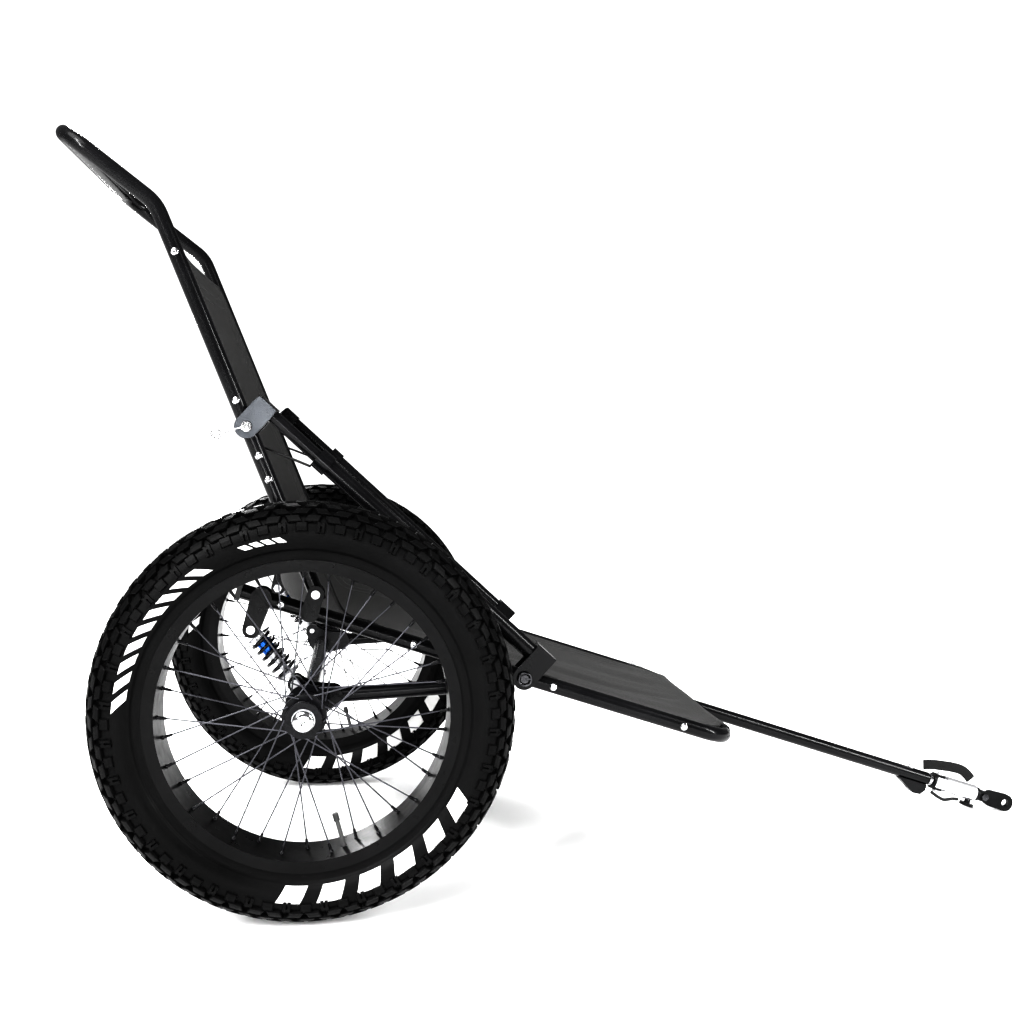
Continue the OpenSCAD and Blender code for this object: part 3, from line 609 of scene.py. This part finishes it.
def button(place, radius, tall, socket):
    """Domed button head with a hex socket; place maps (x, y, height)."""
    dome = [(radius, 0), (radius, 0.28 * tall)]
    for t in np.linspace(0.12, 1, 7):
        a = t * math.pi / 2
        dome.append((socket * 1.25 + (radius - socket * 1.25) * math.cos(a), 0.28 * tall + 0.72 * tall * math.sin(a)))
    verts, faces = revolved(dome, 24, place)
    m = len(dome)
    rim = [i * m + m - 1 for i in range(24)]
    base = len(verts)
    for depth, size in ((tall, 1.0), (0.35 * tall, 0.96)):
        for i in range(24):
            t = 2 * math.pi * i / 24
            flat = size * socket / math.cos(((t + math.pi / 6) % (math.pi / 3)) - math.pi / 6)
            verts.append(place(flat * math.cos(t) * 0.9, flat * math.sin(t) * 0.9, depth))
    for i in range(24):
        j = (i + 1) % 24
        faces.append((rim[i], rim[j], base + j, base + i))
        faces.append((base + i, base + j, base + 24 + j, base + 24 + i))
    faces.append(tuple(base + 24 + i for i in range(24)))
    faces.append(tuple(reversed([i * m for i in range(24)])))
    return verts, faces


def side_button(p, s, y, radius, tall, socket):
    def place(x, z, h):
        return np.array([p[0] + x, s * (y + h), p[1] + z]) * MM
    return button(place, radius, tall, socket)


SEAT_SCREWS = [-39, 158, 372, 579]
BACK_SCREWS = [175, 211, 294, 513]
HEAD_Y = SIDE_Y + TUBE_R


def build_heads():
    seat, back, caps = [], [], []
    for _, s in SIDES:
        for x in SEAT_SCREWS:
            seat.append(side_button(seat_point(x, 0), s, HEAD_Y - 0.6, 5.6, 3.6, 2.0))
        for x in BACK_SCREWS:
            back.append(side_button(back_point(x, 0), s, HEAD_Y - 0.6, 5.6, 3.6, 2.0))
        caps.append(side_button(AXLE, s, TRACK_Y + 61.1, 14.5, 6.6, 4.0))
    seat = piece("seat_screw_heads", *join(seat), chrome)
    back = piece("back_screw_heads", *join(back), chrome)
    caps = piece("axle_cap_domes", *join(caps), chrome)
    for obj, body, node in ((seat, "chassis", "seat_screws"), (back, "backrest", "back_screws"),
                            (caps, "suspension", "axle_caps")):
        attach(obj, body)
        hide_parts(node)


build_heads()

# ---- the sling ----
ROWS, COLUMNS = 230, 72
CLOTH = 0.75
WRAP_R = TUBE_R + 1.3


def sling_lines():
    """Side-view lines of the sling's edge, its middle and its half width, from the top hem to the front hem."""
    edge, middle, half = [], [], []
    for x, n, drop, w in ((527, -4, 1, 228.5), (500, -6, 7, 229.5), (430, -7, 13, 229.5), (340, -7, 16, 229.5),
                          (300, -7, 17, 229.5), (282, -7, 17.5, 215), (228, -7, 18.5, 214), (200, -7, 19, 215),
                          (165, -7, 21, 216), (125, -7, 27, 215)):
        edge.append(back_point(x, n))
        middle.append(back_point(x, drop))
        half.append(w)
    edge += [back_point(75, -10), back_point(30, -22), seat_point(48, 12)]
    middle += [back_point(70, 44), back_point(8, 62), seat_point(12, -34)]
    half += [213, 212, 213]
    for x, n, drop, w in ((90, 8, -27, 216), (120, 7, -23, 229), (225, 7, -18, 229.5), (245, 7, -17, 219.5),
                          (370, 7, -14, 219.5), (395, 7, -13, 229.5), (520, 7, -8, 229.5), (600, 7.5, 0, 229.5)):
        edge.append(seat_point(x, n))
        middle.append(seat_point(x, drop))
        half.append(w)
    corner = SEAT_FRONT - 45
    for t in (22, 45, 68, 90):
        a = math.radians(t)
        x = corner + 34.5 * math.sin(a)
        edge.append(seat_point(x, 8 + 3.5 * t / 90))
        middle.append(seat_point(x, 2 + 9.5 * t / 90))
        half.append(195 + 34.5 * math.cos(a))
    for t in (68, 40, 10, -20, -50, -78):
        a = math.radians(t)
        p = seat_point(SEAT_FRONT + WRAP_R * math.cos(a), WRAP_R * math.sin(a))
        edge.append(p)
        middle.append(p)
        half.append(192)
    return edge, middle, half


def resampled(edge, middle, half):
    """Rows evenly spaced along the edge, with the middle and the half width carried with them."""
    joined = np.array([[*e, *m, w] for e, m, w in zip(edge, middle, half)])
    p = np.vstack([2 * joined[0] - joined[1], joined, 2 * joined[-1] - joined[-2]])
    dense = []
    for i in range(1, len(p) - 2):
        for t in np.linspace(0, 1, 20, endpoint=False):
            a, b, c, d = p[i - 1], p[i], p[i + 1], p[i + 2]
            row = 0.5 * (2 * b + (c - a) * t + (2 * a - 5 * b + 4 * c - d) * t**2 + (3 * b - a - 3 * c + d) * t**3)
            row[4] = b[4] + (c[4] - b[4]) * (3 * t**2 - 2 * t**3)
            dense.append(row)
    dense = np.array(dense + [p[-2]])
    run = 0.5 * (np.linalg.norm(np.diff(dense[:, :2], axis=0), axis=1)
                 + np.linalg.norm(np.diff(dense[:, 2:4], axis=0), axis=1))
    reach = np.concatenate([[0], np.cumsum(run)])
    spots = np.linspace(0, reach[-1], ROWS)
    rows = np.array([[np.interp(s, reach, dense[:, k]) for k in range(5)] for s in spots])
    return rows, spots


def wrinkle(s, u, total):
    """Soft lengthways folds on the seat, drag lines to the corners, and almost none on the tight backrest."""
    seat = min(1.0, max(0.0, (s - 0.56 * total) / (0.08 * total))) * min(1.0, max(0.0, (0.965 * total - s) / 60))
    v = u * 225
    fold = 1.7 * math.sin(v / 17 + s / 95 + 0.9 * math.sin(s / 120)) * math.exp(-(((u - 0.1) / 0.5) ** 2))
    fold += 1.2 * math.sin(v / 29 - s / 70 + 1.3) + 0.7 * math.sin(v / 11 + s / 60 + 2.0 * math.sin(v / 60))
    pull = 1.1 * math.sin(s / 24 + 2 * u) * abs(u) ** 3
    back = 0.5 * math.sin(v / 40 + s / 90) + 0.35 * math.sin(s / 33 + u * 3)
    hold = (1 - abs(u) ** 6)
    return hold * (seat * (fold + pull) + (1 - seat) * back)


def sling_grid():
    edge, middle, half = sling_lines()
    rows, spots = resampled(edge, middle, half)
    total = spots[-1]
    grid = np.zeros((ROWS, COLUMNS + 1, 3))
    flat = np.zeros((ROWS, COLUMNS + 1, 2))
    for i, row in enumerate(rows):
        for j in range(COLUMNS + 1):
            u = 2 * j / COLUMNS - 1
            bow = 1 - abs(u) ** 2.3
            p = row[:2] + (row[2:4] - row[:2]) * bow
            grid[i, j] = (p[0], u * row[4], p[1])
            flat[i, j] = (u * row[4] * MM, spots[i] * MM)
    normals = grid_normals(grid)
    for i in range(ROWS):
        for j in range(COLUMNS + 1):
            grid[i, j] += normals[i, j] * wrinkle(spots[i], 2 * j / COLUMNS - 1, total)
    return grid, flat, total


def grid_normals(grid):
    along_rows = np.gradient(grid, axis=0)
    across_rows = np.gradient(grid, axis=1)
    n = np.cross(across_rows, along_rows)
    return -n / np.linalg.norm(n, axis=2)[:, :, None]


def cloth_solid(grid, flat, keep):
    """Closed sheet of the cloth's thickness over the grid's kept cells."""
    normals = grid_normals(grid)
    rows, cols = grid.shape[:2]
    top, bottom = grid + normals * CLOTH, grid - normals * CLOTH
    verts = np.concatenate([top.reshape(-1, 3), bottom.reshape(-1, 3)]) * MM
    uvs = np.concatenate([flat.reshape(-1, 2), flat.reshape(-1, 2)])
    layer = rows * cols
    faces, edges = [], {}
    for i in range(rows - 1):
        for j in range(cols - 1):
            if not keep(i, j):
                continue
            q = (i * cols + j, (i + 1) * cols + j, (i + 1) * cols + j + 1, i * cols + j + 1)
            faces.append(q)
            faces.append(tuple(layer + v for v in reversed(q)))
            for k in range(4):
                a, b = q[k], q[(k + 1) % 4]
                if (b, a) in edges:
                    del edges[(b, a)]
                else:
                    edges[(a, b)] = True
    for a, b in edges:
        faces.append((b, a, layer + a, layer + b))
    used = sorted({v for f in faces for v in f})
    place = {v: k for k, v in enumerate(used)}
    return verts[used], [tuple(place[v] for v in f) for f in faces], uvs[used]


def stitches(line, normals, spacing, long):
    """Short raised threads along a line on the cloth."""
    parts = []
    p = np.array(line)
    reach = np.concatenate([[0], np.cumsum(np.linalg.norm(np.diff(p, axis=0), axis=1))])
    n = np.array(normals)
    for s in np.arange(spacing, reach[-1] - spacing, spacing):
        ends = []
        for t in (s - long / 2, s - long / 5, s + long / 5, s + long / 2):
            at = np.array([np.interp(t, reach, p[:, k]) for k in range(3)])
            up = np.array([np.interp(t, reach, n[:, k]) for k in range(3)])
            ends.append((at, up / np.linalg.norm(up)))
        rise = (0.05, 0.42, 0.42, 0.05)
        pts = [(a + u * (CLOTH + r)) * MM for (a, u), r in zip(ends, rise)]
        parts.append(swept_tube(pts, 0.38 * MM, 5))
    return parts


def build_sling():
    grid, flat, total = sling_grid()
    normals = grid_normals(grid)

    def keep(i, j):
        y = abs(0.5 * (grid[i, j, 1] + grid[i, j + 1, 1]))
        ahead = (grid[i, j, 0] - SEAT_ORIGIN[0]) * SEAT_X[0] + (grid[i, j, 2] - SEAT_ORIGIN[1]) * SEAT_X[1]
        return not (y < 15.5 and ahead > SEAT_FRONT - 1.0)

    verts, faces, uvs = cloth_solid(grid, flat, keep)
    cloth = piece("sling_cloth_sheet", verts, faces, sling_cloth, uvs)
    hems = []
    for j in (0, COLUMNS):
        hems.append(swept_tube(grid[:, j] * MM, 1.9 * MM, 8))
    hems.append(swept_tube(grid[0] * MM, 1.7 * MM, 8))
    hem = piece("sling_piping", *join(hems), hem_cloth)
    seams = []
    for j in (3, 5):
        for k in (j, COLUMNS - j):
            seams += stitches(grid[3:-2, k], normals[3:-2, k], 4.4, 3.0)
    for i in (5, 8):
        seams += stitches(grid[i, 3:-3], normals[i, 3:-3], 4.4, 3.0)
    seam = piece("sling_stitching", *join(seams), thread)
    for obj in (cloth, hem, seam):
        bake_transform(obj)
    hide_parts("seat_sling", "back_sling")


build_sling()

# ---- shocks ----

# The knurled ring on the upper perch: its start, end, inner and outer radius
ADJUSTER = (12.7, 15.6, 17.55, 19.4)


def build_shocks():
    long = np.linalg.norm(SHOCK_FOOT - SHOCK_TOP)
    for name, s in SIDES:
        def place(u, a, b):
            p = in_line(SHOCK_LINE, u, a)
            return world(p, s * (SIDE_Y + b))
        start, end, turns = 18.2, long - 22.0, 5.4
        coil = []
        for i in range(int(turns * 28) + 1):
            t = i / (turns * 28)
            a = 2 * math.pi * turns * t
            coil.append(place(start + (end - start) * t, 15 * math.cos(a), 15 * math.sin(a)))
        spring = piece(f"shock_coil_{name}", *swept_tube(coil, 2.65 * MM, 12), coil_black)
        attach(spring, f"shock_upper_{name}")
        tuple(place(15, 0, 0))
        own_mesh(spring)
        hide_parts(f"shock_spring_{name}")
        u0, u1, r0, r1, n = *ADJUSTER, 48
        verts, faces = [], []
        for u, r_in, r_out in ((u0, r0, r1 - 0.6), (u0 + 0.6, r0, r1), (u1 - 0.6, r0, r1), (u1, r0, r1 - 0.6)):
            for i in range(n):
                a = 2 * math.pi * i / n
                r = r_out - (0.8 if i % 4 in (0, 1) else 0)
                verts.append(place(u, r * math.cos(a), r * math.sin(a)))
            for i in range(n):
                a = 2 * math.pi * i / n
                verts.append(place(u, r_in * math.cos(a), r_in * math.sin(a)))
        for k in range(3):
            for i in range(n):
                j = (i + 1) % n
                p, q = k * 2 * n, (k + 1) * 2 * n
                faces.append((p + i, p + j, q + j, q + i))
                faces.append((p + n + j, p + n + i, q + n + i, q + n + j))
        for p, flip in ((0, 1), (3 * 2 * n, 0)):
            for i in range(n):
                j = (i + 1) % n
                f = (p + i, p + n + i, p + n + j, p + j)
                faces.append(tuple(reversed(f)) if flip else f)
        ring = piece(f"shock_adjuster_{name}", verts, faces, shock_alloy, smooth=False)
        sleeve = [(8.6, 21.5), (9.6, 22.0), (10.0, 23.0), (10.0, 43.0), (9.6, 44.0), (8.6, 44.5), (8.6, 21.5)]
        verts, faces = revolved(sleeve, 32, lambda a, b, h: place(h, a, b))
        blue = piece(f"shock_sleeve_{name}", verts, faces, shock_blue)
        for obj in (ring, blue):
            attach(obj, f"shock_upper_{name}")


build_shocks()

# ---- strut cover plates and pin cords ----


def plate(outline, hole, y0, y1, s, line):
    """Flat plate with one round hole, from a star-shaped outline about the hole's centre."""
    verts, faces = [], []
    n = len(outline)
    for y in (y0, y1):
        for u, v in outline:
            verts.append(world(in_line(line, u, v), s * y))
        for u, v in outline:
            a = math.atan2(v, u)
            verts.append(world(in_line(line, hole * math.cos(a), hole * math.sin(a)), s * y))
    for i in range(n):
        j = (i + 1) % n
        faces.append((i, j, n + j, n + i))
        faces.append((3 * n + i, 3 * n + j, 2 * n + j, 2 * n + i))
        faces.append((j, i, 2 * n + i, 2 * n + j))
        faces.append((n + i, n + j, 3 * n + j, 3 * n + i))
    return verts, faces


def plate_outline():
    """Half-round end about the pin and a square end at the strut, walked round in even steps."""
    points = []
    for k in range(48):
        a = 2 * math.pi * (k + 0.5) / 48
        c, d = math.cos(a), math.sin(a)
        if d <= 0:
            points.append((16.6 * c, 16.6 * d))
            continue
        reach = min(16.6 / max(abs(c), 1e-6), 44.0 / d)
        points.append((reach * c, reach * d))
    return points


def build_strut_details():
    for name, s in SIDES:
        cover = piece(f"strut_cover_{name}", *plate(plate_outline(), 8.2, SIDE_Y + 15.65, SIDE_Y + 16.7, s,
                                                    STRUT_LINE), plate_steel, smooth=False)
        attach(cover, f"strut_upper_{name}")
        route = [(102, 236, 18), (86, 233, 12), (68, 229, 5), (50, 225, -2), (34, 222.6, -8), (18, 222.1, -9),
                 (4, 222.1, -6)]
        pts = smooth_line([world(in_line(STRUT_LINE, u, n), s * y) for u, y, n in route], 40)
        tie = piece(f"pin_cord_{name}", *swept_tube(pts, 1.9 * MM, 10), cord_black)
        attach(tie, f"strut_upper_{name}")
        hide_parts(f"pin_lanyard_{name}")


build_strut_details()

# ---- hitch strap and cable ----
STRAP = [(167, 21.5), (158, 24.8), (146, 27.6), (132, 30), (116, 32.2), (102, 33), (92, 31.5), (82, 27),
         (74.5, 22)]
CABLE = [(145, -13, -18.5), (139, -14, -20.5), (131, -15, -23), (119, -14, -25), (109, -11, -22.5), (99, -7, -20),
         (88, -3, -18.6)]


def build_hitch_soft():
    line = smooth_line(STRAP, 60)
    gradient = np.gradient(line, axis=0)
    gradient /= np.linalg.norm(gradient, axis=1)[:, None]
    up = np.stack([-gradient[:, 1], gradient[:, 0]], axis=1)
    verts, faces, uvs = [], [], []
    across = [(-8.6, 0.7), (-8.0, 1.6), (-5.5, 2.1), (0, 2.2), (5.5, 2.1), (8.0, 1.6), (8.6, 0.7),
              (8.6, -0.7), (8.0, -1.6), (5.5, -2.1), (0, -2.2), (-5.5, -2.1), (-8.0, -1.6), (-8.6, -0.7)]
    reach = np.concatenate([[0], np.cumsum(np.linalg.norm(np.diff(line, axis=0), axis=1))])
    m = len(across)
    for i in range(len(line)):
        for v, y in across:
            q = line[i] + up[i] * v
            verts.append(world(in_line(BAR_LINE, q[0], q[1]), y))
            uvs.append((v * MM, reach[i] * MM))
    for i in range(len(line) - 1):
        for k in range(m):
            j = (k + 1) % m
            faces.append((i * m + k, i * m + j, (i + 1) * m + j, (i + 1) * m + k))
    faces.append(tuple(reversed(range(m))))
    faces.append(tuple(range((len(line) - 1) * m, len(line) * m)))
    strap = piece("hitch_strap_webbing", verts, faces, webbing, uvs)
    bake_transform(strap)
    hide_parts("safety_strap")
    pts = smooth_line([world(in_line(BAR_LINE, u, n), y) for u, y, n in CABLE], 60)
    cable = piece("hitch_cable", *swept_tube(pts, 2.9 * MM, 12), cord_black)
    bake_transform(cable)
    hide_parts("safety_cable")


build_hitch_soft()

# ---- floor and light ----


def build_studio():
    size = 40.0
    verts = [(-size, -size, 0), (size, -size, 0), (size, size, 0), (-size, size, 0)]
    floor_paint = surface("floor_paint", (0.93, 0.93, 0.93), (0.95, 0.95, 0.95), (0.7, 0.85), 0.6, 40, 0.0002,
                          specular=0.2)
    glow = floor_paint.node_tree.nodes["Principled BSDF"].inputs
    glow["Emission Color"].default_value = (1, 1, 1, 1)
    glow["Emission Strength"].default_value = 0.12
    floor = piece("floor", verts, [(0, 1, 2, 3)], floor_paint)
    world_light = bpy.data.worlds.new("studio")
    bpy.context.scene.world = world_light
    world_light.use_nodes = True
    nodes, links = world_light.node_tree.nodes, world_light.node_tree.links
    seen = nodes.new("ShaderNodeLightPath")
    plain, room = nodes["Background"], nodes.new("ShaderNodeBackground")
    plain.inputs["Color"].default_value = (1, 1, 1, 1)
    plain.inputs["Strength"].default_value = 0.19
    room.inputs["Color"].default_value = (1, 1, 1, 1)
    room.inputs["Strength"].default_value = 1.0
    mix = nodes.new("ShaderNodeMixShader")
    links.new(seen.outputs["Is Camera Ray"], mix.inputs[0])
    links.new(plain.outputs[0], mix.inputs[1])
    links.new(room.outputs[0], mix.inputs[2])
    links.new(mix.outputs[0], nodes["World Output"].inputs["Surface"])
    sun = bpy.data.lights.new("sun", "SUN")
    sun.energy = 3.1
    sun.angle = math.radians(50)
    lamp = bpy.data.objects.new("sun", sun)
    lamp.rotation_euler = (math.radians(28), math.radians(-22), 0)
    bpy.context.scene.collection.objects.link(lamp)
    for name, spot, aim, size, power in (
        ("key", (-1.9, -2.2, 2.1), (-0.4, 0, 0.5), (0.16, 2.0), 120),
        ("side", (2.4, -1.8, 1.6), (0.0, 0, 0.3), (0.14, 1.8), 90),
        ("rim", (-1.2, 2.4, 1.9), (-0.3, 0, 0.4), (0.2, 2.2), 80),
        ("low", (-0.4, -3.2, 0.5), (-0.4, 0, 0.3), (2.0, 0.12), 26),
    ):
        light = bpy.data.lights.new(name, "AREA")
        light.shape = "RECTANGLE"
        light.size, light.size_y = size
        light.energy = power
        obj = bpy.data.objects.new(name, light)
        obj.location = spot
        obj.rotation_euler = (Vector(aim) - Vector(spot)).to_track_quat("-Z", "Y").to_euler()
        bpy.context.scene.collection.objects.link(obj)


build_studio()
